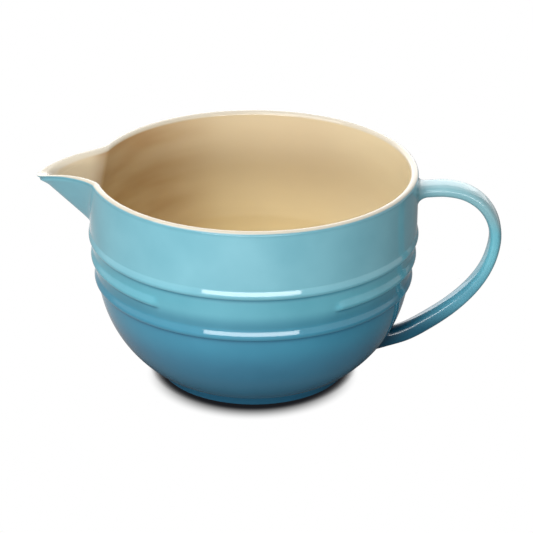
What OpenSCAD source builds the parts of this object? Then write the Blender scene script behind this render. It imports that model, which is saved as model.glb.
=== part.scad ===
// Glazed stoneware batter bowl with a pulled pouring spout and a strap handle.
// Millimetres. +Z is up, the bowl turns about Z, the spout points along -X and the
// handle along +X. The origin is on the bowl's axis, on the surface it stands on.

/* [Bowl] */
// Outer diameter of the upright upper wall
bowl_d = 199.4; // [194:0.2:230]
// Height from the table to the top of the rim
bowl_h = 131.4; // [130:0.2:145]
// Thickness of the upper wall, glaze included
wall_t = 5; // [4:0.1:6.5]
// Thickness of the lower bowl, measured across its round
belly_t = 6; // [4.5:0.1:8]
// Thickness of the floor over the foot
floor_t = 6.2; // [4:0.1:9]
// Radius of the round lower bowl
belly_r = 76.6; // [74:0.2:79]
// Radius of the flat middle of the inside floor
floor_flat_r = 38; // [15:1:48]

/* [Bands] */
// Height of the upper crease
crease_1_z = 88.8; // [86:0.1:90]
// Height of the middle crease
crease_2_z = 75.4; // [72:0.1:78]
// Height of the lower crease
crease_3_z = 61.6; // [58:0.1:64]
// How far the upper crease lies in from the upper wall
crease_1_in = 1.4; // [0.8:0.1:2]
// How far the middle crease lies in from the upper wall
crease_2_in = 2.8; // [2.2:0.1:3.4]
// How far the lower crease lies in from the upper wall
crease_3_in = 4.4; // [3.8:0.1:5]
// Height of the roll that runs round over each crease
roll_h = 5.5; // [4:0.1:5.6]
// How far the roll stands out from the upper wall
wall_roll_out = 1; // [0.4:0.1:1.6]
// How far the rolls stand out from the two bands
band_roll_out = 1.3; // [0.6:0.1:1.8]
// How far the upper band leans in on its way down
band_2_lean = 0.2; // [0:0.1:0.6]
// How far the lower band leans in on its way down
band_3_lean = 0.8; // [0:0.1:1]
// Angle of the plain panel at the front, where the middle roll and crease stop
panel_deg = 66; // [20:1:120]

/* [Foot] */
// Outer diameter of the foot ring where it meets the table
foot_d = 116.6; // [100:0.2:118]
// Height of the foot ring
foot_h = 6.2; // [5:0.1:8]
// Width of the flat face that the foot ring stands on
foot_face_w = 5; // [3:0.1:9]
// How far the foot ring widens towards the bowl, on each side
foot_taper = 0.8; // [0:0.1:1.2]
// Width of the shoulder between the foot ring and the lower bowl
foot_shoulder_w = 2.2; // [1:0.1:3]

/* [Rim] */
// Height of the rounded rim bead
bead_h = 4; // [3.5:0.1:6]

/* [Spout] */
// Height from the spout's lowest point to the rim
spout_h = 37; // [30:0.5:38]
// Half width of the spout at its lowest point
spout_low_w = 4; // [2:0.5:8]
// Half width of the spout's mouth at the rim
mouth_w = 33; // [24:0.5:42]
// How far the spout's underside runs out from the wall
spout_out = 28; // [18:0.5:36]
// Thickness of the wall at the tip, measured level
tip_t = 6.7; // [5:0.1:8]
// How far the lip of the tip flares out past the underside
tip_flare = 4.7; // [1:0.1:6]
// How far the lip drops from the rim to the tip
tip_drop = 6.4; // [0:0.1:10]

/* [Handle] */
// Depth of the middle of the strap below the rim at its highest place
handle_drop = 11.2; // [10.6:0.2:18]
// Height of the middle of the strap at its lower root
handle_low_z = 20; // [19:0.2:26]
// How far the middle of the strap stands out from the wall
handle_reach = 47.8; // [40:0.2:56]
// Width of the strap
handle_w = 17; // [12:0.5:24]
// Thickness of the strap
handle_t = 7.2; // [5.5:0.1:9]
// How much thicker the strap is at its lower root
low_root_extra = 3.6; // [1:0.1:4.5]
// How much thicker and wider the strap is at its upper root
top_root_extra = 4; // [1:0.1:5]

/* [Glaze] */
// Thickness of the liner glaze
liner_t = 0.8; // [0.5:0.1:1.2]

/* [Hidden] */

BLUE = [0.40, 0.69, 0.77];
DEEP_BLUE = [0.16, 0.37, 0.47];
TAN = [0.84, 0.74, 0.55];
OFF_WHITE = [0.96, 0.93, 0.86];

// One overrun serves every cut.
over = 2;
round_facets = 180;
wall_r = bowl_d / 2;
bead_z = bowl_h - bead_h;
bead_r = wall_t / 2;
floor_z = foot_h + floor_t;
foot_top_r = foot_d / 2 + foot_taper;

function mix(a, b, share) = a + (b - a) * share;
function slice(list, first, last) = [for (i = [first : last]) list[i]];
function reversed(list) = [for (i = [len(list) - 1 : -1 : 0]) list[i]];

// Points of an arc that runs down and in, as seen in the bowl's section.
function low_arc(x, z, r, from_deg, to_deg, steps) =
    [for (i = [0 : steps]) let (a = mix(from_deg, to_deg, i / steps)) [x + r * cos(a), z - r * sin(a)]];

// A curve from a to c that is pulled towards b.
function bend(a, b, c, steps) =
    [for (i = [0 : steps]) let (u = i / steps) mix(mix(a, b, u), mix(b, c, u), u)];

// The way down a roll has its crest at a share of its height. A higher turn power makes its turn
// into the crease sharper.
roll_crest_share = 0.68;
roll_turn_power = 9;
wall_roll_steps = 12;
band_steps = 18;

function ease(u) = u < 1 ? u * u * (3 - 2 * u) : 1;

// One band from its upper crease down to its lower one: plain, then out over the roll, and in to
// the crease. Its points lie closest together at both creases.
function band(high_z, low_z, high_r, low_r, out, low_crease_r, steps) =
    [for (i = [0 : steps])
        let (u = (1 - cos(180 * i / steps)) / 2,
             z = mix(high_z, low_z, u),
             down = max(1 - (z - low_z) / roll_h, 0))
        [mix(high_r, low_r, u) + out * ease(down / roll_crest_share)
            - (out + low_r - low_crease_r) * pow(down, roll_turn_power), z]];

crease_1_r = wall_r - crease_1_in;
crease_2_r = wall_r - crease_2_in;
crease_3_r = wall_r - crease_3_in;
band_2_low_r = crease_1_r - band_2_lean;
band_3_low_r = crease_2_r - band_3_lean;
wall_roll_points = band(crease_1_z + roll_h, crease_1_z, wall_r, wall_r,
    wall_roll_out, crease_1_r, wall_roll_steps);
band_2_points = band(crease_1_z, crease_2_z, crease_1_r, band_2_low_r,
    band_roll_out, crease_2_r, band_steps);
band_3_points = band(crease_2_z, crease_3_z, crease_2_r, band_3_low_r,
    band_roll_out, crease_3_r, band_steps);

// The round of the lower bowl starts at the lower crease, a share of its radius below its
// middle, and runs down to a share of its height over the foot.
belly_start_share = 0.1;
belly_end_share = 0.043;
belly_steps = 16;
shoulder_steps = 5;
belly_drop = belly_r * belly_start_share;
belly_z = crease_3_z + belly_drop;
belly_x = crease_3_r - sqrt(pow(belly_r, 2) - pow(belly_drop, 2));
belly_end_z = mix(foot_h, belly_z, belly_end_share);
belly_start_deg = asin(belly_start_share);
belly_end_deg = asin((belly_z - belly_end_z) / belly_r);

// From the round the outside turns in level, to the shoulder over the foot ring.
function belly_points() =
    let (arc = low_arc(belly_x, belly_z, belly_r, belly_start_deg, belly_end_deg, belly_steps),
         end = arc[belly_steps],
         level = [end[0] - (end[1] - foot_h) * tan(belly_end_deg), foot_h],
         shoulder = bend(end, level, [foot_top_r + foot_shoulder_w, foot_h], shoulder_steps))
    concat(arc, slice(shoulder, 1, shoulder_steps));

// The whole outside from the rim bead down to the underside.
function outside() =
    concat(
        [[wall_r, bead_z]],
        wall_roll_points,
        slice(band_2_points, 1, band_steps),
        slice(band_3_points, 1, band_steps),
        slice(belly_points(), 1, belly_steps + shoulder_steps)
    );

// The inside leaves the upright wall at a share of the wall's roll and turns into its round,
// pulled to a share of the way down the bands. It turns in to the floor at a share of the
// round's height over the floor.
upright_end_share = 0.8;
wall_turn_share = 0.4;
floor_turn_share = 0.12;
inside_steps = 12;

// The inside outline from the rim bead down to the middle of the floor, with a skin of the
// given thickness laid on it.
function inside(skin) =
    let (r = wall_r - wall_t + skin,
         round_r = belly_r - belly_t + skin,
         low_z = floor_z - skin,
         end_deg = asin((belly_z - mix(low_z, belly_z, floor_turn_share)) / round_r),
         arc = low_arc(belly_x, belly_z, round_r, belly_start_deg, end_deg, inside_steps),
         end = arc[inside_steps],
         level = [end[0] - (end[1] - low_z) * tan(end_deg), low_z],
         top = [r, crease_1_z + roll_h * upright_end_share],
         pull = [r, mix(crease_1_z, crease_3_z, wall_turn_share)])
    concat(
        [[r, bead_z]],
        bend(top, pull, arc[0], inside_steps),
        slice(arc, 1, inside_steps),
        slice(bend(end, level, [floor_flat_r, low_z], inside_steps), 1, inside_steps),
        [[0, low_z]]
    );

// Solid of the bowl's outside, filled in, which trims what is joined to the wall.
module bowl_envelope() {
    rotate_extrude($fn = round_facets)
        polygon(concat([[0, bead_z]], outside(), [[0, foot_h]]));
}

// The spout fills a gap in the wall whose flat sides lean apart towards the rim.
spout_low_z = bowl_h - spout_h;

function mouth_half(z) = mix(spout_low_w, mouth_w, (z - spout_low_z) / spout_h);

module spout_gap() {
    top_z = bowl_h + over;
    half = mouth_half(top_z);
    low_half = spout_low_w;
    translate([-wall_r - over, 0, 0])
        rotate([90, 0, 90])
            linear_extrude(height = wall_r)
                polygon([
                    [-low_half, spout_low_z],
                    [low_half, spout_low_z],
                    [half, top_z],
                    [-half, top_z]
                ]);
}

// The plain panel at the front takes the place of the middle roll and its crease. Its face runs
// straight from the top of that roll to the top of the lower one, and is sunk into the bands by
// a share of the roll. A pocket a share of the wall deep is cut first, and the panel fills it.
panel_sink_share = 0.08;
pocket_share = 0.1;
fill_share = 0.3;
panel_top_z = crease_2_z + roll_h;
panel_low_z = crease_3_z + roll_h;
panel_sink = band_roll_out * panel_sink_share;
panel_top_r = mix(crease_1_r, band_2_low_r, (crease_1_z - panel_top_z) / (crease_1_z - crease_2_z))
    - panel_sink;
panel_low_r = mix(crease_2_r, band_3_low_r, (crease_2_z - panel_low_z) / (crease_2_z - crease_3_z))
    - panel_sink;

// A piece of a ring over the panel's width and height, between two outlines given from the top.
module panel_ring(inner_r, outer_top_r, outer_low_r) {
    rotate([0, 0, -90 - panel_deg / 2])
        rotate_extrude(angle = panel_deg, $fn = round_facets)
            polygon([
                [inner_r, panel_top_z],
                [inner_r, panel_low_z],
                [outer_low_r, panel_low_z],
                [outer_top_r, panel_top_z]
            ]);
}

module bowl_wall() {
    pocket_r = panel_low_r - wall_t * pocket_share;
    clear_r = wall_r + over;
    color(BLUE)
        difference() {
            union() {
                difference() {
                    rotate_extrude($fn = round_facets)
                        polygon(concat(outside(), [[0, foot_h]], reversed(inside(liner_t))));
                    panel_ring(pocket_r, clear_r, clear_r);
                }
                panel_ring(panel_low_r - wall_t * fill_share, panel_top_r, panel_low_r);
            }
            spout_gap();
        }
}

module liner_glaze() {
    color(TAN)
        difference() {
            rotate_extrude($fn = round_facets)
                polygon(concat(inside(liner_t), reversed(inside(0))));
            spout_gap();
        }
}

module rim_bead() {
    color(OFF_WHITE)
        difference() {
            rotate_extrude($fn = round_facets)
                translate([wall_r - bead_r, 0]) {
                    translate([-bead_r, bead_z])
                        square([wall_t, bead_h - bead_r]);
                    intersection() {
                        translate([0, bowl_h - bead_r])
                            circle(r = bead_r, $fn = 48);
                        translate([-bead_r, bowl_h - bead_r])
                            square([wall_t, bead_r]);
                    }
                }
            spout_gap();
        }
}

// The short ring under the bowl, a little wider at its top.
module foot_ring() {
    foot_r = foot_d / 2;
    color(DEEP_BLUE)
        rotate_extrude($fn = round_facets)
            polygon([
                [foot_r - foot_face_w, 0],
                [foot_r, 0],
                [foot_top_r, foot_h],
                [foot_r - foot_face_w - foot_taper, foot_h]
            ]);
}

// The spout is drawn out of the wall. Each place on it has a share v from one side of the mouth
// to the other, -1 to 1, a share t up from the spout's lowest point to the lip, and a share s
// through the wall, from 0 outside to 1 inside.
v_steps = 40;
t_steps = 12;
lip_steps = 11;
outer_crown_power = 1.65;
channel_crown_power = 2.2;
channel_climb_power = 1.1;
tip_power = 3;
channel_out = spout_out + wall_t - tip_t;
liner_side_share = 1 - liner_t / wall_t;

function crown(v, power) = pow(max(cos(90 * v), 0), power);
function tip_crown(v) = pow(crown(v, outer_crown_power), tip_power);
function lip_base_z(v) = bead_z - tip_drop * tip_crown(v);

// A place on the spout at height z.
function spout_place(v, t, s, z) =
    let (y = v * mouth_half(z),
         outer = -sqrt(pow(wall_r, 2) - pow(y, 2)) - spout_out * t * crown(v, outer_crown_power),
         channel = -sqrt(pow(wall_r - wall_t, 2) - pow(y, 2))
             - channel_out * pow(t, channel_climb_power) * crown(v, channel_crown_power))
    [mix(outer, channel, s), y, z];

function spout_at(v, t, s) = spout_place(v, t, s, mix(spout_low_z, lip_base_z(v), t));

// The lip is round like the rim bead. At the tip its outer half flares out by a share that
// starts from a least value at its side.
flare_share = 1.6;
flare_least_share = 0.12;

// A place on the lip at angle a over its rounding, from 0 outside to 180 inside.
function lip_at(v, a) =
    let (up = bead_h - bead_r + bead_r * sin(a),
         lean = flare_share * sqrt(max(sin(a), flare_least_share)) * max(cos(a), 0))
    spout_place(v, 1, (1 - cos(a)) / 2, lip_base_z(v) + up) - [tip_flare * lean * tip_crown(v), 0, 0];

// A closed skin over a row of loops of points. Each loop's first half faces its second half,
// so the two ends are closed by strips across.
module loft(loops) {
    n = len(loops[0]);
    last = (len(loops) - 1) * n;
    sides = [for (i = [0 : len(loops) - 2], j = [0 : n - 1])
        let (a = i * n + j, b = i * n + (j + 1) % n, c = b + n, d = a + n)
        each [[a, b, c], [a, c, d]]];
    ends = [for (j = [0 : n / 2 - 2])
        let (a = j, b = j + 1, c = n - 2 - j, d = n - 1 - j)
        each [[c, b, a], [d, c, a], [last + a, last + b, last + c], [last + a, last + c, last + d]]];
    polyhedron(
        points = [for (loop = loops) each loop],
        faces = concat(sides, ends),
        convexity = 6
    );
}

// The wall of the spout between two shares of its thickness.
module spout_layer(outer_s, inner_s) {
    loft([for (i = [0 : v_steps])
        let (v = 2 * i / v_steps - 1)
        concat([for (j = [0 : t_steps]) spout_at(v, j / t_steps, outer_s)],
               [for (j = [t_steps : -1 : 0]) spout_at(v, j / t_steps, inner_s)])]);
}

module spout() {
    color(BLUE)
        spout_layer(0, liner_side_share);
}

module spout_liner() {
    color(TAN)
        spout_layer(liner_side_share, 1);
}

// The rounded lip of the spout, which goes on from the rim bead.
module spout_lip() {
    color(OFF_WHITE)
        loft([for (i = [0 : v_steps])
            let (v = 2 * i / v_steps - 1)
            concat([spout_at(v, 1, 0)],
                   [for (k = [0 : lip_steps]) lip_at(v, 180 * k / lip_steps)],
                   [spout_at(v, 1, 1)])]);
}

// Middle line of the strap: shares of its reach from the wall and of its height.
handle_path_shares = [
    [-0.14, 0.985], [0.12, 0.995], [0.36, 1], [0.6, 0.977], [0.805, 0.915], [0.945, 0.82], [1, 0.706],
    [0.965, 0.58], [0.86, 0.465], [0.69, 0.352], [0.455, 0.243], [0.18, 0.145], [-0.1, 0.058],
    [-0.38, 0.008], [-0.6, -0.032], [-0.78, -0.058]
];
path_steps = 3;
path_last = len(handle_path_shares) - 1;

function path_point(k) =
    [wall_r + handle_reach * handle_path_shares[k][0],
     mix(handle_low_z, bowl_h - handle_drop, handle_path_shares[k][1])];

// A smooth curve from b to c that comes from a and goes on to d.
function smooth(a, b, c, d, u) =
    b + (c - a) * u / 2 + (2 * a - 5 * b + 4 * c - d) * u * u / 2 + (3 * b - a - 3 * c + d) * u * u * u / 2;

strap_line = [for (k = [0 : path_last - 1], m = [0 : path_steps - 1])
    smooth(path_point(max(k - 1, 0)), path_point(k), path_point(k + 1),
        path_point(min(k + 2, path_last)), m / path_steps)];
strap_last = len(strap_line) - 1;

// The strap's section is a rounded rectangle: a lower power is squarer. Its roots take up
// shares of its length and grow towards the wall.
strap_sides = 24;
strap_round_power = 0.62;
top_root_share = 0.14;
low_root_share = 0.3;
top_root_power = 2;

function strap_heading(k) =
    let (d = strap_line[min(k + 1, strap_last)] - strap_line[max(k - 1, 0)])
    d / norm(d);

function signed_pow(x, power) = sign(x) * pow(abs(x), power);

function strap_loop(k) =
    let (u = k / strap_last,
         top_root = top_root_extra * pow(max(1 - u / top_root_share, 0), top_root_power),
         low_root = low_root_extra * max(1 - (1 - u) / low_root_share, 0),
         thick = handle_t + top_root + low_root,
         wide = handle_w + top_root,
         along = strap_heading(k))
    [for (j = [0 : strap_sides - 1])
        let (a = 360 * (j + 1 / 2) / strap_sides,
             up = thick / 2 * signed_pow(cos(a), strap_round_power),
             side = wide / 2 * signed_pow(sin(a), strap_round_power),
             p = strap_line[k] + up * [-along[1], along[0]])
        [p[0], side, p[1]]];

module handle() {
    color(BLUE)
        difference() {
            loft([for (k = [0 : strap_last]) strap_loop(k)]);
            bowl_envelope();
        }
}

bowl_wall();
liner_glaze();
rim_bead();
foot_ring();
spout();
spout_liner();
spout_lip();
handle();
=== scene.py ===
"""Glazed stoneware batter bowl with a pulled spout and a strap handle, in a plain studio.

Sizes are in millimetres in the bowl's own frame: +Z up, the spout along -X, the handle along
+X, and the origin under the bowl's axis on the surface that it stands on.
"""
from __future__ import annotations

import logging
import math
from collections.abc import Sequence
from dataclasses import dataclass
from enum import Enum

import bmesh
import bpy
from mathutils import Matrix, Vector

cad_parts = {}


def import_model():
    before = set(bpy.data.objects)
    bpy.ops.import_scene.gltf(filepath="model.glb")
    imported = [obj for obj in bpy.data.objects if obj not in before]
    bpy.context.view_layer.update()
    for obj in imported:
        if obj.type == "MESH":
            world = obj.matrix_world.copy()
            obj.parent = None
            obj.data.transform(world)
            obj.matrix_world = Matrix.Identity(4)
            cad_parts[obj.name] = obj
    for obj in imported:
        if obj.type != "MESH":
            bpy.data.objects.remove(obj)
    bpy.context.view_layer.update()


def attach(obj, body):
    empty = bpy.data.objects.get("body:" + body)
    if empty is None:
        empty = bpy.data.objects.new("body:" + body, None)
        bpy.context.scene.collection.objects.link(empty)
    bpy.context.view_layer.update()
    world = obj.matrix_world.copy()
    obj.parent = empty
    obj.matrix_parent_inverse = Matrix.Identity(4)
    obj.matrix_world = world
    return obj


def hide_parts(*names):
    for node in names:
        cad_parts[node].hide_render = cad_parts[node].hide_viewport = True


LOG = logging.getLogger("batter_bowl")
MM = 0.001
BODY = "root"
PHOTO_PX = 533

# Length of the bowl's section that the second texture coordinate spans, from one side of the
# rim's crest to the other.
SECTION_SPAN = 600.0

# Name of the mesh attribute that says how much glaze pools at a place and how much painted
# shade darkens it there, from 0 to 1.
POOL_AND_SHADE = "pool_and_shade"

# Angle between two faces, in degrees, over which the edge between them stays sharp.
SHARP_ANGLE = 50.0

# Numbers of the Mix node's inputs and output, whose names are the same for every kind of data.
FIRST_COLOUR, SECOND_COLOUR, MIXED_COLOUR = 6, 7, 2
FIRST_VALUE, SECOND_VALUE, MIXED_VALUE = 2, 3, 0

# Setting of a Map Range node that eases its slope at both ends.
SOFT = {"interpolation_type": "SMOOTHSTEP"}

Point = tuple[float, float]
Colour = tuple[float, float, float, float]


class Slot(Enum):
    """Material slots of the record, one listed beside each piece; the pieces' finishes are built
    here, not taken from them.
    """

    OUTER = "outer_glaze"
    LINER = "liner_glaze"
    RIM = "rim_glaze"
    FOOT = "foot_glaze"


def mix(a: float, b: float, share: float) -> float:
    """Returns the value a share of the way from a to b."""
    return a + (b - a) * share


def clamp(value: float, low: float = 0.0, high: float = 1.0) -> float:
    """Returns the value, kept between low and high."""
    return max(low, min(high, value))


def smooth(value: float) -> float:
    """Returns a soft step of a value between 0 and 1."""
    value = clamp(value)
    return value * value * (3 - 2 * value)


def ramp(value: float, ease: float = 0.2) -> float:
    """Makes a straight slope from 0 to 1 that is rounded at both its ends.

    Args:
        value: The place on the slope, from 0 to 1.
        ease: The share of the slope that each rounding takes.

    Returns:
        The height of the slope there.
    """
    value = clamp(value)
    if value < ease:
        return value * value / (2 * ease * (1 - ease))
    if value > 1 - ease:
        return 1 - ramp(1 - value, ease)
    return (value - ease / 2) / (1 - ease)


def linear(colour: str) -> Colour:
    """Turns an sRGB hex colour into linear RGBA.

    Args:
        colour: Six hex digits, such as "8FC8D6".

    Returns:
        The linear colour with full alpha.
    """
    channels = (int(colour[i:i + 2], 16) / 255 for i in (0, 2, 4))
    red, green, blue = (
        c / 12.92 if c <= 0.04045 else ((c + 0.055) / 1.055) ** 2.4 for c in channels)
    return red, green, blue, 1.0


def empty_tree(owner: bpy.types.Material | bpy.types.World) -> bpy.types.NodeTree:
    """Switches on the nodes of a material or world and clears them.

    Args:
        owner: The material or world.

    Returns:
        Its empty node tree.
    """
    owner.use_nodes = True
    owner.node_tree.nodes.clear()
    return owner.node_tree


def add_node(
    tree: bpy.types.NodeTree,
    kind: str,
    inputs: dict[str | int, object] | None = None,
    **settings: object,
) -> bpy.types.NodeOutputs:
    """Adds a node with its settings and links.

    Args:
        tree: The tree that the node goes into.
        kind: The node's type without its "ShaderNode" start.
        inputs: Values or output sockets, by the name or number of the input.
        settings: Attributes of the node, such as operation or blend_type.

    Returns:
        The new node's outputs.
    """
    node = tree.nodes.new("ShaderNode" + kind)
    for name, value in settings.items():
        setattr(node, name, value)
    for key, value in (inputs or {}).items():
        if isinstance(value, bpy.types.NodeSocket):
            tree.links.new(value, node.inputs[key])
        else:
            node.inputs[key].default_value = value
    return node.outputs


def put(name: str, data: bpy.types.ID) -> bpy.types.Object:
    """Makes an object of a mesh, lamp or camera and links it into the scene.

    Args:
        name: The object's name.
        data: What the object shows.

    Returns:
        The linked object.
    """
    made = bpy.data.objects.new(name, data)
    bpy.context.collection.objects.link(made)
    return made


def as_object(name: str, mesh: bmesh.types.BMesh) -> bpy.types.Object:
    """Makes an object of a closed mesh, with its faces turned outward and sharp joints kept.

    Args:
        name: The object's name.
        mesh: The mesh, which is freed.

    Returns:
        The linked object.
    """
    bmesh.ops.recalc_face_normals(mesh, faces=mesh.faces)
    data = bpy.data.meshes.new(name)
    mesh.to_mesh(data)
    mesh.free()
    data.set_sharp_from_angle(angle=math.radians(SHARP_ANGLE))
    return put(name, data)


def seat(
    piece: bpy.types.Object, material: bpy.types.Material, nodes: Sequence[str]
) -> None:
    """Dresses a piece, rides it on the body and hides the solids that it stands for.

    Args:
        piece: The piece's object.
        material: Its finish.
        nodes: Names of the solids that it replaces.
    """
    piece.data.materials.append(material)
    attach(piece, BODY)
    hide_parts(*nodes)


@dataclass(frozen=True)
class GlassySkin:
    """Gloss and fine relief of a fired glaze.

    The roughness wanders by a share of itself in clouds of the given size.
    """

    roughness: float = 0.12
    ior: float = 1.55
    relief_mm: float = 0.05
    satin_mm: float = 18.0
    satin_share: float = 0.35


@dataclass(frozen=True)
class Fade:
    """A colour that takes over between two places, given in millimetres."""

    start: float
    end: float
    colour: str


class GlazeTree:
    """One glaze's node tree, with the places, in millimetres, that its colours follow."""

    def __init__(self, name: str) -> None:
        """Starts an empty material.

        Args:
            name: The material's name.
        """
        self.material = bpy.data.materials.new(name)
        self.tree = empty_tree(self.material)
        self.coords = add_node(self.tree, "TexCoord")
        sized = add_node(
            self.tree, "VectorMath", {0: self.coords["Object"], "Scale": 1 / MM}, operation="SCALE")
        self.mm = add_node(self.tree, "SeparateXYZ", {"Vector": sized["Vector"]})

    def crest_mm(self) -> bpy.types.NodeSocket:
        """Measures a place from the rim's crest along the bowl's section.

        Returns:
            The distance in millimetres, more than 0 outside and less than 0 inside.
        """
        section = add_node(self.tree, "SeparateXYZ", {"Vector": self.coords["UV"]})
        side = add_node(self.tree, "Math", {0: section["Y"], 1: 0.5}, operation="SUBTRACT")
        return add_node(self.tree, "Math", {0: side[0], 1: SECTION_SPAN}, operation="MULTIPLY")[0]

    def lay(
        self,
        under: bpy.types.NodeSocket | Colour,
        over: bpy.types.NodeSocket | Colour,
        along: bpy.types.NodeSocket,
        span: tuple[float, float],
        blend_type: str = "MIX",
    ) -> bpy.types.NodeSocket:
        """Lays one colour over another, softly between two places.

        Args:
            under: The colour as far as the first place.
            over: The colour that is laid on from there.
            along: The value that the places are measured along, in millimetres.
            span: The two places.
            blend_type: MIX where it covers the colour under it, or MULTIPLY where it stains it.

        Returns:
            The joined colour.
        """
        inputs = {"Value": along, "From Min": span[0], "From Max": span[1]}
        amount = add_node(self.tree, "MapRange", inputs, **SOFT)["Result"]
        colours = {"Factor": amount, FIRST_COLOUR: under, SECOND_COLOUR: over}
        return add_node(
            self.tree, "Mix", colours, data_type="RGBA", blend_type=blend_type)[MIXED_COLOUR]

    def clouds(
        self, size_mm: float, detail: float = 2.0, stretch: float = 1.0
    ) -> bpy.types.NodeSocket:
        """Makes a cloudy pattern of a real size.

        Args:
            size_mm: Size of a cloud in millimetres.
            detail: Number of finer layers.
            stretch: How many times flatter than wide a cloud is.

        Returns:
            The pattern, from 0 to 1.
        """
        squash = {0: self.coords["Object"], 1: (1.0, 1.0, stretch)}
        squashed = add_node(self.tree, "VectorMath", squash, operation="MULTIPLY")
        inputs = {"Vector": squashed[0], "Scale": 1 / (size_mm * MM), "Detail": detail}
        return add_node(self.tree, "TexNoise", inputs)[0]

    def finish(
        self, colour: bpy.types.NodeSocket, height: bpy.types.NodeSocket, skin: GlassySkin
    ) -> bpy.types.Material:
        """Closes the tree with a glossy glaze.

        Args:
            colour: The glaze's colour.
            height: Relief from 0 to 1, which the skin gives its depth.
            skin: Gloss and relief of the glaze.

        Returns:
            The finished material.
        """
        relief = {"Height": height, "Distance": skin.relief_mm * MM, "Strength": 1.0}
        bump = add_node(self.tree, "Bump", relief)
        satin = add_node(self.tree, "MapRange", {
            "Value": self.clouds(skin.satin_mm),
            "To Min": skin.roughness * (1 - skin.satin_share),
            "To Max": skin.roughness * (1 + skin.satin_share),
        })
        shader = add_node(self.tree, "BsdfPrincipled", {
            "Base Color": colour,
            "Normal": bump[0],
            "Roughness": satin["Result"],
            "IOR": skin.ior,
            "Metallic": 0.0,
        })
        add_node(self.tree, "OutputMaterial", {"Surface": shader[0]})
        return self.material


@dataclass(frozen=True)
class TurquoiseGlaze:
    """Sprayed turquoise glaze on stoneware.

    The colour deepens from a milky light blue under the rim to a deep sea blue at the foot,
    partly its own grade and partly painted shade on the lower bowl and in the hollow over the
    lowest roll.
    It is darker in the creases, where glaze pools and painted shade lies, and its surface
    waves softly like orange peel.
    """

    name: str = "turquoise_sprayed_glaze"
    # Colours by height, darker towards the foot: partly the glaze's own grade and partly painted
    # shade on the lower bowl and in the hollow over the lowest roll.
    foot: str = "4A8CAA"
    fades: tuple[Fade, ...] = (
        Fade(20, 34, "3886A6"),
        Fade(36, 56, "4098B6"),
        Fade(58, 72, "4C9BB3"),
        Fade(70, 79, "70BFD0"),
        Fade(84, 96, "8CCCDA"),
    )
    # Stain of the creases: partly pooled glaze and partly painted shade.
    pooled_and_shaded: str = "AACCD8"
    cloud: str = "D8E6EA"
    cloud_mm: float = 26.0
    # The waves of a sprayed glaze are 1 to 3 mm across. They are drawn coarser, because waves
    # of that size don't show in the render.
    peel_mm: float = 5.0
    skin: GlassySkin = GlassySkin(roughness=0.06, relief_mm=0.015)

    def outside(self, glaze: GlazeTree) -> bpy.types.NodeSocket:
        """Grades the colour by height, partly with painted shade, and stains it where the glaze
        clouds and where pooled glaze and painted shade darken the creases.

        Args:
            glaze: The glaze's tree.

        Returns:
            The colour.
        """
        colour: bpy.types.NodeSocket | Colour = linear(self.foot)
        for fade in self.fades:
            colour = glaze.lay(
                colour, linear(fade.colour), glaze.mm["Z"], (fade.start, fade.end))
        pool_and_shade = add_node(glaze.tree, "Attribute", attribute_name=POOL_AND_SHADE)["Fac"]
        for amount, stain in ((glaze.clouds(self.cloud_mm), self.cloud), (pool_and_shade, self.pooled_and_shaded)):
            colours = {"Factor": amount, FIRST_COLOUR: colour, SECOND_COLOUR: linear(stain)}
            colour = add_node(
                glaze.tree, "Mix", colours, data_type="RGBA", blend_type="MULTIPLY")[MIXED_COLOUR]
        return colour

    def build(self) -> bpy.types.Material:
        """Returns the finished material."""
        glaze = GlazeTree(self.name)
        return glaze.finish(self.outside(glaze), glaze.clouds(self.peel_mm), self.skin)


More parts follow.
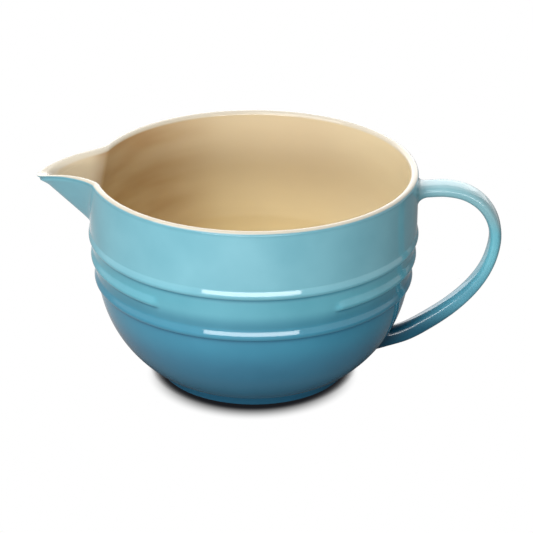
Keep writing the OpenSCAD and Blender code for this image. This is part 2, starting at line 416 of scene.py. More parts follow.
@dataclass(frozen=True)
class SandLiner:
    """Poured sand-coloured liner glaze over thrown stoneware.

    Broad brown bands show through it, and soft throwing rings wave it. Towards the spout the
    bands are stronger, partly as painted shade of that inner side. Painted light makes it
    lighter deep in the bowl and on the handle's side. It turns ivory at the tip of the spout,
    where it runs thin.
    """

    name: str = "sand_poured_liner"
    colour: str = "DCCCAC"
    # Painted light: lighter and warmer deep in the bowl, where the inside lies in shade.
    deep: str = "F6E4B4"
    deep_fade: tuple[float, float] = (40.0, 110.0)
    # Painted light on the inner wall towards the handle.
    lit_side: str = "F0E2BE"
    lit_side_fade: tuple[float, float] = (30.0, 100.0)
    thin: str = "E0D4BC"
    thin_fade: tuple[float, float] = (-118.0, -121.0)
    banded: str = "A87E4A"
    band_mm: float = 90.0
    band_stretch: float = 5.0
    band_share: float = 0.15
    spout_band_and_shade_share: float = 1.05
    # Along X, where the stronger bands of the spout's side come in and where they go out. On
    # that side they are partly painted shade.
    spout_band_and_shade_fades: tuple[tuple[float, float], ...] = ((-20.0, -75.0), (-102.0, -92.0))
    ring_mm: float = 30.0
    ring_detail: float = 1.0
    ring_stretch: float = 6.0
    skin: GlassySkin = GlassySkin(roughness=0.16, relief_mm=0.06)

    def inside(self, glaze: GlazeTree) -> bpy.types.NodeSocket:
        """Colours the liner with painted light deep down and on the handle's side, brown bands that
        are stronger towards the spout, partly as painted shade, and its thin tip.

        Args:
            glaze: The glaze's tree.

        Returns:
            The colour.
        """
        tree, along = glaze.tree, glaze.mm["X"]
        sides = []
        for start, end in self.spout_band_and_shade_fades:
            inputs = {"Value": along, "From Min": start, "From Max": end}
            sides.append(add_node(tree, "MapRange", inputs, **SOFT)["Result"])
        side = add_node(tree, "Math", dict(enumerate(sides)), operation="MULTIPLY")[0]
        strength = add_node(tree, "Math", {
            0: side, 1: self.spout_band_and_shade_share, 2: self.band_share}, operation="MULTIPLY_ADD")
        streaks = glaze.clouds(self.band_mm, stretch=self.band_stretch)
        band = add_node(tree, "Math", {0: streaks, 1: strength[0]}, operation="MULTIPLY")
        plain = glaze.lay(
            linear(self.deep), linear(self.colour), glaze.mm["Z"], self.deep_fade)
        plain = glaze.lay(plain, linear(self.lit_side), along, self.lit_side_fade)
        colour = add_node(tree, "Mix", {
            "Factor": band[0], FIRST_COLOUR: plain, SECOND_COLOUR: linear(self.banded)},
            data_type="RGBA")[MIXED_COLOUR]
        return glaze.lay(colour, linear(self.thin), along, self.thin_fade)

    def build(self) -> bpy.types.Material:
        """Returns the finished material."""
        glaze = GlazeTree(self.name)
        rings = glaze.clouds(self.ring_mm, self.ring_detail, self.ring_stretch)
        return glaze.finish(self.inside(glaze), rings, self.skin)


@dataclass(frozen=True)
class IvoryBreak:
    """Glaze that breaks to ivory over the rim, where it is thin.

    The turquoise outside and the sand inside each fade into it close to the crest. The places
    of its fades are distances from the crest, more than 0 outside.
    """

    name: str = "ivory_glaze_break"
    colour: str = "D9CFBB"
    outer_fade: tuple[float, float] = (1.8, 2.8)
    inner_fade: tuple[float, float] = (-2.8, -4.2)
    edge: str = "D6E4E8"
    edge_fade: tuple[float, float] = (5.2, 3.0)
    outside: TurquoiseGlaze = TurquoiseGlaze()
    inside: SandLiner = SandLiner()
    skin: GlassySkin = GlassySkin(roughness=0.07, relief_mm=0.012)

    def build(self) -> bpy.types.Material:
        """Joins the three colours over the rim.

        Returns:
            The finished material.
        """
        glaze = GlazeTree(self.name)
        crest = glaze.crest_mm()
        body = glaze.lay(
            self.outside.outside(glaze), linear(self.edge), crest, self.edge_fade, "MULTIPLY")
        colour = glaze.lay(linear(self.colour), body, crest, self.outer_fade)
        colour = glaze.lay(colour, self.inside.inside(glaze), crest, self.inner_fade)
        return glaze.finish(colour, glaze.clouds(self.outside.peel_mm), self.skin)


@dataclass(frozen=True)
class FootGlaze:
    """Deep turquoise glaze on the foot ring, wiped off the face that it stands on.

    The wiped face shows bare, sandy stoneware.
    """

    name: str = "wiped_foot_glaze"
    bare: str = "CDBFA6"
    glazed: str = "2A6380"
    wipe_line: tuple[float, float] = (0.02, 0.12)
    # The clay's grit is 0.2 to 0.5 mm. It is drawn coarser, because grit of that size doesn't
    # show in the render.
    grit_mm: float = 0.8
    skin: GlassySkin = GlassySkin(roughness=0.18, relief_mm=0.02)

    def build(self) -> bpy.types.Material:
        """Returns the finished material."""
        glaze = GlazeTree(self.name)
        colour = glaze.lay(
            linear(self.bare), linear(self.glazed), glaze.mm["Z"], self.wipe_line)
        return glaze.finish(colour, glaze.clouds(self.grit_mm), self.skin)


@dataclass(frozen=True)
class Station:
    """One place on a section of the bowl: its radius, its height, how deep in the wall it lies
    from 0 outside to 1 inside, and its distance from the rim's crest along the section."""

    r: float
    z: float
    depth: float
    crest: float


@dataclass
class ThrownBowl:
    """The thrown wall with its bands, foot, liner and rim, and the spout pulled out of it.

    The lower bowl is round: belly_r is the radius of that round, and belly_drop how far its
    middle lies over the lowest crease. Each of the two round_share fields says where a round
    gives way to a level face, as a share of the height from that face to the round's middle.
    """

    # Wall, lower bowl and inside
    wall_r: float = 99.7
    height: float = 131.4
    wall_t: float = 5.0
    belly_t: float = 6.0
    belly_r: float = 76.6
    belly_drop: float = 8.41
    foot_round_share: float = 0.043
    floor_round_share: float = 0.12
    floor_z: float = 12.4
    floor_flat_r: float = 38.0
    upright_end: float = 4.4
    turn_pull_share: float = 0.4
    liner_t: float = 0.8

    # Creases and the rolls over them, from the top down
    creases: tuple[float, float, float] = (88.35, 74.85, 60.85)
    crease_in: tuple[float, float, float] = (1.4, 2.8, 4.4)
    crease_sharpness: float = 9.0
    wall_roll_h: float = 6.9
    roll_h: float = 7.8
    roll_crest: float = 0.66
    wall_roll_out: float = 0.98
    band_roll_out: float = 1.42
    band_lean: tuple[float, float] = (0.2, 0.8)
    panel_deg: float = 66.0
    panel_fade_deg: float = 2.6
    pool_and_shade_reach: float = 1.1

    # Foot ring and rim
    foot_r: float = 58.3
    foot_h: float = 6.2
    foot_face: float = 5.0
    foot_taper: float = 0.8
    foot_edge: float = 0.9
    foot_chamfer: float = 0.5
    shoulder: float = 2.2
    bead_h: float = 4.0

    # Spout, with the powers that its crown narrows by and the softness of its start
    spout_low_z: float = 94.4
    spout_start: float = 8.0
    spout_low_w: float = 4.0
    mouth_w: float = 33.0
    mouth_least: float = 2.5
    spout_out: float = 28.0
    spout_crown: float = 1.65
    channel_out: float = 26.3
    channel_crown: float = 2.2
    channel_climb: float = 1.1
    climb_softness: float = 0.0016
    tip_crown: float = 3.0
    tip_flare: float = 4.48
    tip_drop: float = 6.4
    beak_h: float = 3.6
    beak_ease: float = 1.4
    lip_lean_most: float = 1.6
    lip_rise_least: float = 0.12

    # Mesh: columns round the bowl, and rows down its section
    columns: int = 300
    spout_columns: int = 100
    spout_fan: float = 1.08
    wall_rows: int = 34
    band_rows: int = 30
    liner_rows: int = 22
    round_rows: int = 18
    bend_rows: int = 10
    flat_rows: int = 4
    foot_rows: int = 6
    bead_rows: int = 22
    bead_side_rows: int = 3

    @property
    def bead_z(self) -> float:
        """Height at which the rim's bead starts."""
        return self.height - self.bead_h

    @property
    def bead_r(self) -> float:
        """Radius of the rounding over the rim."""
        return self.wall_t / 2

    @property
    def bead_length(self) -> float:
        """Length of the rim's section from its outer foot to its crest."""
        return self.bead_h - self.bead_r + self.bead_r * math.pi / 2

    @property
    def joint_depth(self) -> float:
        """How deep in the wall the joint under the liner lies, as a share."""
        return 1 - self.liner_t / self.wall_t

    @property
    def belly_centre(self) -> Point:
        """Middle of the lower bowl's round, as radius and height."""
        reach = math.sqrt(self.belly_r ** 2 - self.belly_drop ** 2)
        return self.wall_r - self.crease_in[2] - reach, self.creases[2] + self.belly_drop

    @property
    def crease_r(self) -> tuple[float, float, float]:
        """Radii of the three creases, from the top down."""
        first, second, third = (self.wall_r - inset for inset in self.crease_in)
        return first, second, third

    def azimuths(self) -> list[float]:
        """Spaces the columns round the bowl, closest together over the spout.

        Returns:
            The columns' angles in radians.
        """
        half = math.asin(self.spout_fan * self.mouth_w / self.wall_r)
        near = [math.pi - half + 2 * half * i / self.spout_columns
                for i in range(self.spout_columns)]
        rest = 2 * math.pi - 2 * half
        far = [math.pi + half + rest * i / self.columns for i in range(self.columns)]
        return near + far

    def band(
        self, high: Point, low: Point, roll_h: float, out: float, crease_r: float
    ) -> list[Point]:
        """Traces one band from its upper crease over its roll to its lower crease.

        Args:
            high: Radius and height at the top.
            low: Radius and height at the bottom, without the roll.
            roll_h: Height of the roll.
            out: How far the roll stands out.
            crease_r: Radius of the lower crease.

        Returns:
            Radius and height of each point, from the top down.
        """
        points = []
        for i in range(self.band_rows + 1):
            u = (1 - math.cos(math.pi * i / self.band_rows)) / 2
            z = mix(high[1], low[1], u)
            down = max(1 - (z - low[1]) / roll_h, 0.0)
            r = mix(high[0], low[0], u) + out * ramp(down / self.roll_crest)
            inward = (out + low[0] - crease_r) * down ** self.crease_sharpness
            points.append((r - inward, z))
        return points

    def bands(self) -> list[Point]:
        """Traces the roll of the upper wall and the two bands below it.

        Returns:
            Radius and height of each point, from the top down.
        """
        first, second, third = self.crease_r
        high, middle, low = self.creases
        top = (self.wall_r, high + self.wall_roll_h)
        wall_roll = self.band(
            top, (self.wall_r, high), self.wall_roll_h, self.wall_roll_out, first)
        upper_end, lower_end = first - self.band_lean[0], second - self.band_lean[1]
        upper = self.band(
            (first, high), (upper_end, middle), self.roll_h, self.band_roll_out, second)
        lower = self.band(
            (second, middle), (lower_end, low), self.roll_h, self.band_roll_out, third)
        return wall_roll + upper[1:] + lower[1:]

    @staticmethod
    def bend(a: Point, b: Point, c: Point, rows: int) -> list[Point]:
        """Traces a curve from a to c that is pulled towards b.

        Args:
            a: The start.
            b: The place that pulls.
            c: The end.
            rows: Number of steps.

        Returns:
            The points from a to c.
        """
        points = []
        for i in range(rows + 1):
            u = i / rows
            points.append(tuple(
                mix(mix(a[k], b[k], u), mix(b[k], c[k], u), u) for k in (0, 1)))
        return points

    def lower(
        self, radius: float, level: Point, round_share: float, rows: tuple[int, int]
    ) -> list[Point]:
        """Traces the lower bowl: its round, the bend to a level face, and that face.

        Args:
            radius: Radius of the round.
            level: Radius and height at which the level face starts.
            round_share: Where the round ends, as a share of the height from the level face to
                the round's middle.
            rows: Number of steps of the round and of the bend.

        Returns:
            The points from the lowest crease's height to the bowl's axis.
        """
        x, z = self.belly_centre
        start = math.asin(self.belly_drop / self.belly_r)
        end = math.asin((z - mix(level[1], z, round_share)) / radius)
        angles = [mix(start, end, i / rows[0]) for i in range(rows[0] + 1)]
        turned = [(x + radius * math.cos(a), z - radius * math.sin(a)) for a in angles]
        last = turned[-1]
        pull = (last[0] - (last[1] - level[1]) * math.tan(end), level[1])
        flat = [(mix(level[0], 0.0, i / self.flat_rows), level[1])
                for i in range(1, self.flat_rows + 1)]
        return turned + self.bend(last, pull, level, rows[1])[1:] + flat

    def outside(self) -> list[Point]:
        """Traces the outside from the bead down to the middle of the underside.

        Returns:
            Radius and height of each point.
        """
        low_z = self.creases[0] + self.wall_roll_h
        wall = [(self.wall_r, mix(self.bead_z, low_z, i / self.wall_rows))
                for i in range(self.wall_rows)]
        foot = (self.foot_r + self.foot_taper + self.shoulder, self.foot_h)
        lower = self.lower(
            self.belly_r, foot, self.foot_round_share, (2 * self.round_rows, self.bend_rows))
        return wall + self.bands() + lower[1:]

    def inside(self, skin: float) -> list[Point]:
        """Traces the inside from the bead down to the middle of the floor.

        The joint under the liner is hidden, so it takes half as many points.

        Args:
            skin: Thickness that is laid under the liner's surface.

        Returns:
            Radius and height of each point.
        """
        fine = 1 if skin else 2
        r = self.wall_r - self.wall_t + skin
        top = self.creases[0] + self.upright_end
        rows = self.liner_rows * fine
        upright = [(r, mix(self.bead_z, top, i / rows)) for i in range(rows)]
        lower = self.lower(
            self.belly_r - self.belly_t + skin, (self.floor_flat_r, self.floor_z - skin),
            self.floor_round_share, (self.round_rows * fine, self.bend_rows * fine))
        pull = (r, mix(self.creases[0], self.creases[2], self.turn_pull_share))
        return upright + self.bend((r, top), pull, lower[0], self.bend_rows * fine) + lower[1:]

    def mouth_half(self, z: float) -> float:
        """Returns half the spout's width at a height."""
        rise = (z - self.spout_low_z) / (self.height - self.spout_low_z)
        return max(self.mouth_least, mix(self.spout_low_w, self.mouth_w, rise))

    def panel_share(self, angle: float) -> float:
        """Says how much of a place belongs to the plain front panel.

        Args:
            angle: Azimuth in radians.

        Returns:
            1 on the panel and 0 away from it.
        """
        turned = angle + math.pi / 2
        away = abs(math.degrees(math.atan2(math.sin(turned), math.cos(turned))))
        edge = self.panel_deg / 2
        return 1 - smooth((away - edge + self.panel_fade_deg / 2) / self.panel_fade_deg)

    def panel_r(self, z: float) -> float | None:
        """Measures the front panel's face.

        Args:
            z: Height.

        Returns:
            The radius of the face there, or None over and under the panel.
        """
        first, second, _ = self.crease_r
        high, middle, low = self.creases
        foot = low + self.roll_h
        if not foot <= z <= high:
            return None
        foot_r = second - self.band_lean[1] * (middle - foot) / (middle - low)
        return mix(first, foot_r, ((high - z) / (high - foot)) ** 2)

    def pool_and_shade(self, station: Station, angle: float) -> float:
        """Says how much glaze pools at a place of the outside and how much painted shade it takes,
        which both happen in the creases.

        Args:
            station: The place on the section.
            angle: Azimuth in radians.

        Returns:
            The amount, from 0 to 1.
        """
        if station.depth > 0.0:
            return 0.0
        amount = 0.0
        for crease in self.creases:
            away = (station.z - crease) / self.pool_and_shade_reach
            share = math.exp(-away * away)
            if crease == self.creases[1]:
                share *= 1 - self.panel_share(angle)
            amount = max(amount, share)
        return amount

    def lip_lean(self, station: Station) -> float:
        """Says how far the lip's outer half leans out at the tip.

        Args:
            station: The place on the section.

        Returns:
            The lean as a share of the tip's flare.
        """
        across = 1 - 2 * station.depth
        rise = math.sqrt(max(0.0, 1 - across * across))
        return self.lip_lean_most * math.sqrt(max(rise, self.lip_rise_least)) * max(across, 0.0)

    def place(self, station: Station, angle: float) -> Vector:
        """Puts a place of the section at an azimuth, drawn out where the spout is.

        Args:
            station: The place on the plain bowl's section.
            angle: Azimuth in radians.

        Returns:
            The point in metres.
        """
        r, z = station.r, station.z
        if station.depth == 0.0:
            share, panel_r = self.panel_share(angle), self.panel_r(z)
            if share > 0.0 and panel_r is not None:
                r = mix(r, panel_r, share)
        x, y = r * math.cos(angle), r * math.sin(angle)
        low = self.spout_low_z
        across = self.wall_r * math.sin(angle) / self.mouth_half(z)
        if x < 0.0 and z > low - self.spout_start and abs(across) < 1:
            crown = math.cos(math.pi / 2 * across)
            outer, channel = crown ** self.spout_crown, crown ** self.channel_crown
            tip = outer ** self.tip_crown
            rise = (z - low) / (self.bead_z - low)
            climb = (rise + math.sqrt(rise * rise + self.climb_softness)) / 2
            x -= mix(self.spout_out * min(1.0, climb) * outer,
                     self.channel_out * climb ** self.channel_climb * channel, station.depth)
            beak = smooth((z - self.bead_z + self.beak_h) / (self.beak_ease * self.beak_h))
            x -= self.tip_flare * tip * beak * self.lip_lean(station)
            z -= self.tip_drop * tip * clamp(rise)
        return Vector((x, y, z)) * MM

    def stations(self, points: Sequence[Point], depth: float, side: float) -> list[Station]:
        """Measures a line of points from the rim's crest.

        Args:
            points: Radius and height, from the bead down.
            depth: How deep in the wall they lie.
            side: 1 outside and -1 inside.

        Returns:
            The stations in the same order.
        """
        along = self.bead_length
        found = []
        last = points[0]
        for point in points:
            along += math.dist(point, last)
            last = point
            found.append(Station(point[0], point[1], depth, side * along))
        return found

    def joint(self) -> list[Station]:
        """Returns the face where the liner lies on the wall."""
        return self.stations(self.inside(self.liner_t), self.joint_depth, -1.0)

    def bead(self) -> list[Station]:
        """Traces the rim's rounding from its outer foot over the crest to its inner foot.

        Returns:
            The stations in that order.
        """
        length, inner_r = self.bead_length, self.wall_r - self.wall_t
        ups = [(self.bead_h - self.bead_r) * i / self.bead_side_rows
               for i in range(self.bead_side_rows)]
        outer = [Station(self.wall_r, self.bead_z + up, 0.0, length - up) for up in ups]
        crest = []
        for i in range(self.bead_rows + 1):
            a = math.pi * i / self.bead_rows
            crest.append(Station(
                self.wall_r - self.bead_r + self.bead_r * math.cos(a),
                self.height - self.bead_r + self.bead_r * math.sin(a),
                (1 - math.cos(a)) / 2,
                self.bead_r * (math.pi / 2 - a)))
        inner = [Station(inner_r, self.bead_z + up, 1.0, up - length) for up in reversed(ups)]
        return outer + crest + inner

    def foot_section(self) -> list[Point]:
        """Traces the foot ring from its inner top round its bearing face to its outer top.

        Returns:
            Radius and height of each point.
        """
        rows, edge, taper = self.foot_rows, self.foot_edge, self.foot_taper
        outer, face = self.foot_r, self.foot_r - self.foot_face
        inside = [i / (rows // 2) for i in range(rows // 2 + 1)]
        rounded = [math.radians(90 * k / rows) for k in range(rows + 1)]
        outside = [i / rows for i in range(1, rows + 1)]
        return (
            [(mix(face - taper, face, u), mix(self.foot_h, self.foot_chamfer, u)) for u in inside]
            + [(face + self.foot_chamfer, 0.0)]
            + [(outer - edge + edge * math.sin(a), edge - edge * math.cos(a)) for a in rounded]
            + [(mix(outer, outer + taper, u), mix(edge, self.foot_h, u)) for u in outside])

    def turn(self, name: str, stations: Sequence[Station], poles: bool) -> bpy.types.Object:
        """Turns a section round the bowl's axis into a closed piece.

        Args:
            name: The piece's name.
            stations: The section in order, closed on itself.
            poles: True where the section starts and ends on the axis.

        Returns:
            The new object.
        """
        angles = self.azimuths()
        count = len(angles)
        mesh = bmesh.new()
        layer = mesh.loops.layers.uv.new("section")
        pool_and_shade = mesh.verts.layers.float.new(POOL_AND_SHADE)
        rows: list[list[bmesh.types.BMVert]] = []
        for i, station in enumerate(stations):
            if poles and i in (0, len(stations) - 1):
                rows.append([mesh.verts.new((0.0, 0.0, station.z * MM))] * count)
                continue
            row = []
            for angle in angles:
                vert = mesh.verts.new(self.place(station, angle))
                vert[pool_and_shade] = self.pool_and_shade(station, angle)
                row.append(vert)
            rows.append(row)
        pairs = [(i, i + 1) for i in range(len(rows) - 1)]
        if not poles:
            pairs.append((len(rows) - 1, 0))
        for a, b in pairs:
            crest = {i: 0.5 + stations[i].crest / SECTION_SPAN for i in (a, b)}
            for j in range(count):
                k = (j + 1) % count
                corners = []
                for row, column, turned in ((a, j, j), (a, k, j + 1), (b, k, j + 1), (b, j, j)):
                    vert = rows[row][column]
                    if vert not in [corner[0] for corner in corners]:
                        corners.append((vert, (turned / count, crest[row])))
                face = mesh.faces.new([vert for vert, _ in corners])
                face.smooth = True
                for loop, (_, uv) in zip(face.loops, corners):
                    loop[layer].uv = uv
        return as_object(name, mesh)

    def wall(self) -> bpy.types.Object:
        """Builds the wall, spout and underside as one thrown shell."""
        outer = self.stations(self.outside(), 0.0, 1.0)
        return self.turn("wall_and_spout", outer[::-1] + self.joint(), True)

    def liner(self) -> bpy.types.Object:
        """Builds the liner glaze that lies in the bowl and in the spout."""
        face = self.stations(self.inside(0.0), 1.0, -1.0)
        return self.turn("liner", self.joint()[::-1] + face, True)

    def rim(self) -> bpy.types.Object:
        """Builds the rounded rim with the lip of the spout."""
        return self.turn("rim_and_lip", self.bead(), False)

    def foot(self) -> bpy.types.Object:
        """Builds the foot ring with a rounded outer edge."""
        return self.turn("foot", self.stations(self.foot_section(), 0.0, 1.0), False)

    def outer_distance(self, r: float, z: float) -> tuple[float, Point]:
        """Measures a place from the plain bowl's outside.

        Args:
            r: Radius.
            z: Height.

        Returns:
            The distance, more than 0 outside, and the direction out of the wall.
        """
        x, centre_z = self.belly_centre
        if z >= self.creases[2]:
            return r - self.wall_r, (1.0, 0.0)
        away = math.hypot(r - x, z - centre_z)
        return away - self.belly_r, ((r - x) / away, (z - centre_z) / away)

    def build(self) -> dict[str, bpy.types.Object]:
        """Builds the bowl's pieces, dresses them and hides the solids that they stand for.

        Returns:
            The pieces by name.
        """
        plan = (
            (self.wall(), TurquoiseGlaze().build(), Slot.OUTER, ("bowl_wall", "spout")),
            (self.liner(), SandLiner().build(), Slot.LINER, ("liner_glaze", "spout_liner")),
            (self.rim(), IvoryBreak().build(), Slot.RIM, ("rim_bead", "spout_lip")),
            (self.foot(), FootGlaze().build(), Slot.FOOT, ("foot_ring",)),
        )
        for piece, material, slot, nodes in plan:
            seat(piece, material, nodes)
        return {piece.name: piece for piece, *_ in plan}


@dataclass
class StrapHandle:
    """The pulled strap handle, with soft roots that flow into the wall.

    As far up as narrow_z the strap is narrowest and thickest. From there it thins until plain_z
    and widens until wide_z. Its path is given in shares: outward, of its reach from the wall,
    and upward, of the height from low_z to top_z.
    """

    bowl: ThrownBowl
    top_z: float = 120.2
    low_z: float = 20.0
    reach: float = 47.5
    width: float = 17.6
    low_width: float = 12.0
    thickness: float = 7.5
    low_root_extra: float = 3.1
    narrow_z: float = 24.0
    plain_z: float = 72.0
    wide_z: float = 86.0
    squareness: float = 0.68
    sink: float = 2.4
    fillet: float = 6.2
    top_fillet: float = 3.2
    lean_gain: float = 1.5
    lean_most: float = 1.6
    pool_and_shade_reach: float = 9.0
    pool_and_shade_rise: float = 60.0
    top_pool_and_shade_share: float = 0.3
    # Darker towards the lower root and stained at the roots, partly by pooled glaze and partly by
    # painted shade where the strap meets the wall.
    glaze: TurquoiseGlaze = TurquoiseGlaze(
        name="turquoise_handle_glaze",
        foot="22667F",
        fades=(Fade(26, 50, "6CB4C8"), Fade(50, 84, "86D2E0"), Fade(92, 106, "96C6CE")),
        pooled_and_shaded="6C9CAC",
    )
    sides: int = 48
    stations: int = 330
    course_steps: int = 160
    root_crowding: float = 0.75
    path_shares: tuple[Point, ...] = (
        (-0.06, 0.985), (0.12, 0.995), (0.36, 1.0), (0.6, 0.977), (0.805, 0.915), (0.945, 0.82),
        (1.0, 0.706), (0.965, 0.58), (0.868, 0.46), (0.7, 0.342), (0.464, 0.228), (0.186, 0.127),
        (-0.1, 0.043), (-0.38, -0.006), (-0.6, -0.04), (-0.72, -0.056),
    )

    def course(self) -> list[Vector]:
        """Draws a smooth curve through the path's knots, each with its neighbours' slope.

        Returns:
            Close points in the upright plane, from the upper root to the lower.
        """
        knots = [Vector((self.bowl.wall_r + self.reach * a, mix(self.low_z, self.top_z, b)))
                 for a, b in self.path_shares]
        last = len(knots) - 1
        points: list[Vector] = []
        for k in range(last):
            a, b = knots[max(k - 1, 0)], knots[k]
            c, d = knots[k + 1], knots[min(k + 2, last)]
            for m in range(self.course_steps):
                u = m / self.course_steps
                points.append(b + (c - a) * u / 2 + (2 * a - 5 * b + 4 * c - d) * u * u / 2
                              + (3 * b - a - 3 * c + d) * u ** 3 / 2)
        points.append(knots[last])
        return points

    def middle(self) -> list[Vector]:
        """Spaces the strap's middle line, closest together at the roots, where fillets turn.

        Returns:
            The middle of each ring in the upright plane.
        """
        course = self.course()
        lengths = [0.0]
        for a, b in zip(course, course[1:]):
            lengths.append(lengths[-1] + (b - a).length)
        spaced, k = [], 0
        for i in range(self.stations):
            share = i / (self.stations - 1)
            crowd = self.root_crowding * math.sin(2 * math.pi * share) / (2 * math.pi)
            goal = lengths[-1] * (share - crowd)
            while k < len(course) - 2 and lengths[k + 1] < goal:
                k += 1
            span = lengths[k + 1] - lengths[k]
            spaced.append(course[k].lerp(course[k + 1], clamp((goal - lengths[k]) / span)))
        return spaced

    def from_wall(self, point: Vector) -> tuple[float, Vector]:
        """Measures a place from the bowl's outside.

        Args:
            point: The place.

        Returns:
            The distance, more than 0 outside, and the direction out of the wall.
        """
        r = math.hypot(point.x, point.y)
        away, (out, up) = self.bowl.outer_distance(r, point.z)
        return away, Vector((out * point.x / r, out * point.y / r, up))

    def eased(self, point: Vector, outward: Vector) -> Vector:
        """Flares a place near the wall into a fillet that hugs the wall's round.

        A place inside the wall stays close under its surface.

        Args:
            point: The place on the plain strap.
            outward: The strap's direction outward there.

        Returns:
            The moved place.
        """
        away, wall_out = self.from_wall(point)
        lean = clamp(1 - self.lean_gain * outward.dot(wall_out), 0.0, self.lean_most)
        fillet = mix(self.fillet, self.top_fillet, smooth(outward.z))
        near = clamp((fillet - away) / fillet)
        flare = fillet * (1 - math.sqrt(1 - near * near))
        point = point + outward * flare * lean
        drifted, wall_out = self.from_wall(point)
        return point - wall_out * (drifted - max(away, -self.sink))

    def ring(self, middle: Vector, along: Vector) -> list[Vector]:
        """Places one ring round the strap.

        Args:
            middle: The ring's middle in the upright plane.
            along: The strap's direction there.

        Returns:
            The ring's places.
        """
        across = Vector((-along.y, along.x))
        extra = self.low_root_extra * smooth(
            (self.plain_z - middle.y) / (self.plain_z - self.narrow_z))
        width = mix(self.low_width, self.width, smooth(
            (middle.y - self.narrow_z) / (self.wide_z - self.narrow_z)))
        half = Vector((width / 2, (self.thickness + extra) / 2))
        places = []
        for j in range(self.sides):
            a = 2 * math.pi * (j + 0.5) / self.sides
            sine, cosine = math.sin(a), math.cos(a)
            side = half.x * math.copysign(abs(sine) ** self.squareness, sine)
            up = half.y * math.copysign(abs(cosine) ** self.squareness, cosine)
            flat = middle + across * up
            outward = Vector((across.x * cosine, sine, across.y * cosine))
            places.append(self.eased(Vector((flat.x, side, flat.y)), outward))
        return places

    def pool_and_shade(self, place: Vector) -> float:
        """Says how much glaze pools at a place and how much painted shade it takes, both at the
        roots where the strap meets the wall, most at the lower.

        Args:
            place: The place.

        Returns:
            The amount, from 0 to 1.
        """
        away, _ = self.from_wall(place)
        depth = mix(1.0, self.top_pool_and_shade_share, smooth((place.z - self.low_z) / self.pool_and_shade_rise))
        return depth * math.exp(-(max(away, 0.0) / self.pool_and_shade_reach) ** 2)

    def build(self) -> bpy.types.Object:
        """Builds and dresses the handle.

        Returns:
            The handle's object.
        """
        line = self.middle()
        count = len(line)
        mesh = bmesh.new()
        layer = mesh.loops.layers.uv.new("section")
        pool_and_shade = mesh.verts.layers.float.new(POOL_AND_SHADE)
        rings = []
        for i, middle in enumerate(line):
            along = (line[min(i + 1, count - 1)] - line[max(i - 1, 0)]).normalized()
            ring = []
            for place in self.ring(middle, along):
                vert = mesh.verts.new(place * MM)
                vert[pool_and_shade] = self.pool_and_shade(place)
                ring.append(vert)
            rings.append(ring)
        for i in range(count - 1):
            for j in range(self.sides):
                k = (j + 1) % self.sides
                face = mesh.faces.new((rings[i][j], rings[i][k], rings[i + 1][k], rings[i + 1][j]))
                face.smooth = True
                for loop, uv in zip(face.loops, ((j, i), (j + 1, i), (j + 1, i + 1), (j, i + 1))):
                    loop[layer].uv = (uv[0] / self.sides, uv[1] / count)
        mesh.faces.new(rings[0][::-1])
        mesh.faces.new(rings[-1])
        piece = as_object("strap_handle", mesh)
        seat(piece, self.glaze.build(), ("handle",))
        return piece


@dataclass(frozen=True)
class SoftBox:
    """A rectangular studio lamp that looks at a place on the bowl.

    Its azimuth, in degrees, is 0 on the camera's side and 180 behind the bowl. Its sizes are in
    metres, and its radiance is the same whatever its size.
    """

    name: str
    azimuth: float
    elevation: float
    distance: float
    width: float
    depth: float
    radiance: float
    aim: tuple[float, float, float] = (0.0, 0.0, 0.08)

    def build(self, front: float) -> bpy.types.Object:
        """Builds the lamp.

        Args:
            front: Azimuth of the camera in degrees, which the lamp's own azimuth adds to.

        Returns:
            The lamp's object.
        """
        turn, rise = math.radians(self.azimuth + front), math.radians(self.elevation)
        back = Vector((math.sin(turn) * math.cos(rise), -math.cos(turn) * math.cos(rise),
                       math.sin(rise)))
        data = bpy.data.lights.new(self.name, "AREA")
        data.shape = "RECTANGLE"
        data.size, data.size_y = self.width, self.depth
        data.energy = self.radiance * math.pi * self.width * self.depth
        lamp = put(self.name, data)
        lamp.location = Vector(self.aim) + back * self.distance
        lamp.rotation_mode = "QUATERNION"
        lamp.rotation_quaternion = (-back).to_track_quat("-Z", "Y")
        return lamp


@dataclass(frozen=True)
class SideDim:
    """How the floor in reflections dims towards one side: where that starts and ends along X,
    in millimetres, and the level that is left there."""

    start: float
    end: float
    level: float


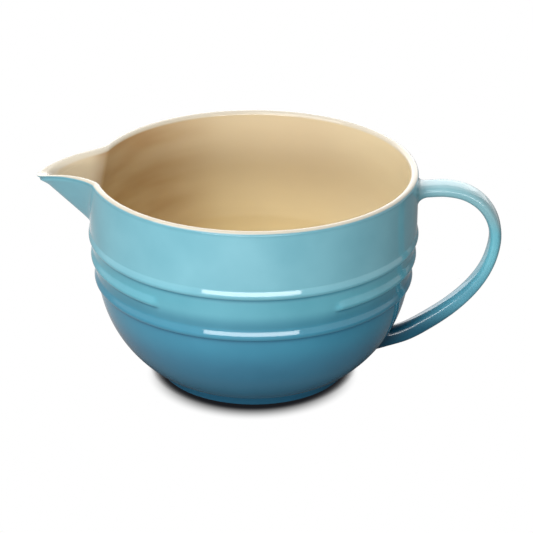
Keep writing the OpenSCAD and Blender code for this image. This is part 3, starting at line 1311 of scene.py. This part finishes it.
@dataclass
class Studio:
    """Camera, lamps, world and floor.

    The floor is white to the camera, apart from the close shadow under the bowl. In reflections
    it is dim where it lies near the bowl, and white again where far_fade ends.
    """

    camera_at: tuple[float, float, float] = (62.8, -1364.9, 684.8)
    elevation: float = 24.38
    turn: float = 2.3
    roll: float = 0.25
    focal_px: float = 2438.53
    sensor_mm: float = 36.0
    clip_m: float = 50.0
    floor_m: float = 12.0
    sky: float = 0.06
    white: str = "FFFFFF"
    shadow: str = "1A1B1F"
    paper: str = "8C8C8C"
    shadow_at: tuple[float, float, float] = (0.0, -12.0, 0.0)
    shadow_fade: tuple[float, float] = (49.0, 66.5)
    contact_mm: float = 8.0
    contact_fade: tuple[float, float] = (0.3, 0.8)
    shade_mm: float = 130.0
    shade_from: float = 0.35
    shade_least: float = 0.04
    side_dims: tuple[SideDim, ...] = (SideDim(-50, 180, 0.24), SideDim(-60, -260, 0.45))
    far_fade: tuple[float, float] = (320.0, 650.0)
    occlusion_samples: int = 16
    lamps: tuple[SoftBox, ...] = (
        SoftBox("front_box", -1, 8, 2.0, 2.5, 0.32, 9.0),
        SoftBox("key", -40, 46, 1.4, 1.6, 1.3, 2.7),
        SoftBox("back_glow", 184, 33, 1.5, 3.0, 2.1, 1.1),
        SoftBox("back_core", 184, 22, 1.5, 1.9, 0.75, 1.2),
        SoftBox("overhead", 170, 76, 1.4, 1.6, 1.0, 0.3),
    )

    def camera(self) -> None:
        """Puts the camera at the photograph's angle and framing."""
        rise, turn, roll = (math.radians(v) for v in (self.elevation, self.turn, self.roll))
        forward = Vector((-math.cos(rise) * math.sin(turn), math.cos(rise) * math.cos(turn),
                          -math.sin(rise)))
        level = Vector((math.cos(turn), math.sin(turn), 0.0))
        upright = level.cross(forward)
        right = level * math.cos(roll) + upright * math.sin(roll)
        up = upright * math.cos(roll) - level * math.sin(roll)
        data = bpy.data.cameras.new("camera")
        data.sensor_width = self.sensor_mm
        data.lens = self.sensor_mm * self.focal_px / PHOTO_PX
        data.clip_end = self.clip_m
        eye = put("camera", data)
        eye.matrix_world = Matrix.Translation(Vector(self.camera_at) * MM) @ Matrix(
            (right, up, -forward)).transposed().to_4x4()
        bpy.context.scene.camera = eye

    @staticmethod
    def seen(tree: bpy.types.NodeTree) -> bpy.types.NodeSocket:
        """Tells rays that see a surface from rays that light it.

        Args:
            tree: The tree that asks.

        Returns:
            1 on rays that see it, straight, in a reflection or through glass, and 0 on others.
        """
        path = add_node(tree, "LightPath")
        sight = path["Is Camera Ray"]
        for ray in ("Is Glossy Ray", "Is Transmission Ray"):
            sight = add_node(tree, "Math", {0: sight, 1: path[ray]}, operation="ADD")[0]
        return sight

    def world(self) -> None:
        """Makes a white backdrop that lights the bowl only softly."""
        world = bpy.data.worlds.new("studio")
        bpy.context.scene.world = world
        tree = empty_tree(world)
        air, backdrop = (
            add_node(tree, "Background", {"Color": linear(self.white), "Strength": strength})[0]
            for strength in (self.sky, 1.0))
        mixed = add_node(tree, "MixShader", {0: self.seen(tree), 1: air, 2: backdrop})
        add_node(tree, "OutputWorld", {"Surface": mixed[0]})

    def contact(
        self, tree: bpy.types.NodeTree, away: bpy.types.NodeSocket
    ) -> bpy.types.NodeSocket:
        """Paints the close shadow that the camera sees, as a soft disc under the foot and a
        darkening where it touches; the lamps don't cast it.

        Args:
            tree: The floor's tree.
            away: Distance from the middle of the shadow.

        Returns:
            0 in the shadow and 1 away from it.
        """
        start, end = self.shadow_fade
        # Painted shadow: a soft disc round shadow_at, not cast by the lamps.
        painted_disc = add_node(tree, "MapRange", {
            "Value": away, "From Min": start * MM, "From Max": end * MM}, **SOFT)
        touch = add_node(
            tree, "AmbientOcclusion", {"Distance": self.contact_mm * MM},
            samples=self.occlusion_samples)
        start, end = self.contact_fade
        close = add_node(tree, "MapRange", {
            "Value": touch["AO"], "From Min": start, "From Max": end}, **SOFT)
        return add_node(
            tree, "Math", {0: painted_disc["Result"], 1: close["Result"]}, operation="MULTIPLY")[0]

    def mirrored(
        self, tree: bpy.types.NodeTree, place: bpy.types.NodeSocket, away: bpy.types.NodeSocket
    ) -> bpy.types.NodeSocket:
        """Dims the floor that reflections see, by its nearness to the bowl and by its side.

        Args:
            tree: The floor's tree.
            place: The place on the floor.
            away: Distance from the middle of the shadow.

        Returns:
            The floor's level, from 0 to 1.
        """
        wide = add_node(
            tree, "AmbientOcclusion", {"Distance": self.shade_mm * MM},
            samples=self.occlusion_samples)
        level = add_node(tree, "MapRange", {
            "Value": wide["AO"], "From Min": self.shade_from, "From Max": 1.0,
            "To Min": self.shade_least})["Result"]
        across = add_node(tree, "SeparateXYZ", {"Vector": place})["X"]
        for dim in self.side_dims:
            side = add_node(tree, "MapRange", {
                "Value": across, "From Min": dim.start * MM, "From Max": dim.end * MM,
                "To Min": 1.0, "To Max": dim.level}, **SOFT)
            level = add_node(tree, "Math", {0: level, 1: side["Result"]}, operation="MULTIPLY")[0]
        start, end = self.far_fade
        far = add_node(tree, "MapRange", {
            "Value": away, "From Min": start * MM, "From Max": end * MM}, **SOFT)
        return add_node(tree, "Math", {0: level, 1: far["Result"]}, operation="MAXIMUM")[0]

    def floor_paper(self) -> bpy.types.Material:
        """Makes the floor's paper, which shows as white and takes light as grey.

        Returns:
            The finished material.
        """
        material = bpy.data.materials.new("white_sweep_paper")
        tree = empty_tree(material)
        place = add_node(tree, "TexCoord")["Object"]
        away = add_node(tree, "VectorMath", {
            0: place, 1: Vector(self.shadow_at) * MM}, operation="DISTANCE")["Value"]
        level = add_node(tree, "Mix", {
            "Factor": add_node(tree, "LightPath")["Is Camera Ray"],
            FIRST_VALUE: self.mirrored(tree, place, away),
            SECOND_VALUE: self.contact(tree, away)}, data_type="FLOAT")[MIXED_VALUE]
        tone = add_node(tree, "Mix", {
            "Factor": level, FIRST_COLOUR: linear(self.shadow), SECOND_COLOUR: linear(self.white)},
            data_type="RGBA")[MIXED_COLOUR]
        glow = add_node(tree, "Emission", {"Color": tone, "Strength": 1.0})
        paper = add_node(tree, "BsdfDiffuse", {"Color": linear(self.paper)})
        mixed = add_node(tree, "MixShader", {0: self.seen(tree), 1: paper[0], 2: glow[0]})
        add_node(tree, "OutputMaterial", {"Surface": mixed[0]})
        return material

    def floor(self) -> None:
        """Lays the floor."""
        mesh = bmesh.new()
        half = self.floor_m / 2
        corners = ((-half, -half), (half, -half), (half, half), (-half, half))
        mesh.faces.new([mesh.verts.new((x, y, 0.0)) for x, y in corners])
        data = bpy.data.meshes.new("floor")
        mesh.to_mesh(data)
        mesh.free()
        data.materials.append(self.floor_paper())
        floor = put("floor", data)

    def build(self) -> None:
        """Builds the whole studio."""
        bpy.context.scene.view_settings.view_transform = "Standard"
        self.world()
        self.floor()
        self.camera()
        for lamp in self.lamps:
            lamp.build(self.turn)


def main() -> None:
    """Builds the bowl, its handle and the studio round them."""
    logging.basicConfig(level=logging.INFO, format="%(message)s")
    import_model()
    Studio().build()
    bowl = ThrownBowl()
    pieces = bowl.build()
    pieces["strap_handle"] = StrapHandle(bowl).build()
    for name, piece in pieces.items():
        LOG.info("%s: %d faces", name, len(piece.data.polygons))
    bpy.context.view_layer.update()


if __name__ == "__main__":
    main()
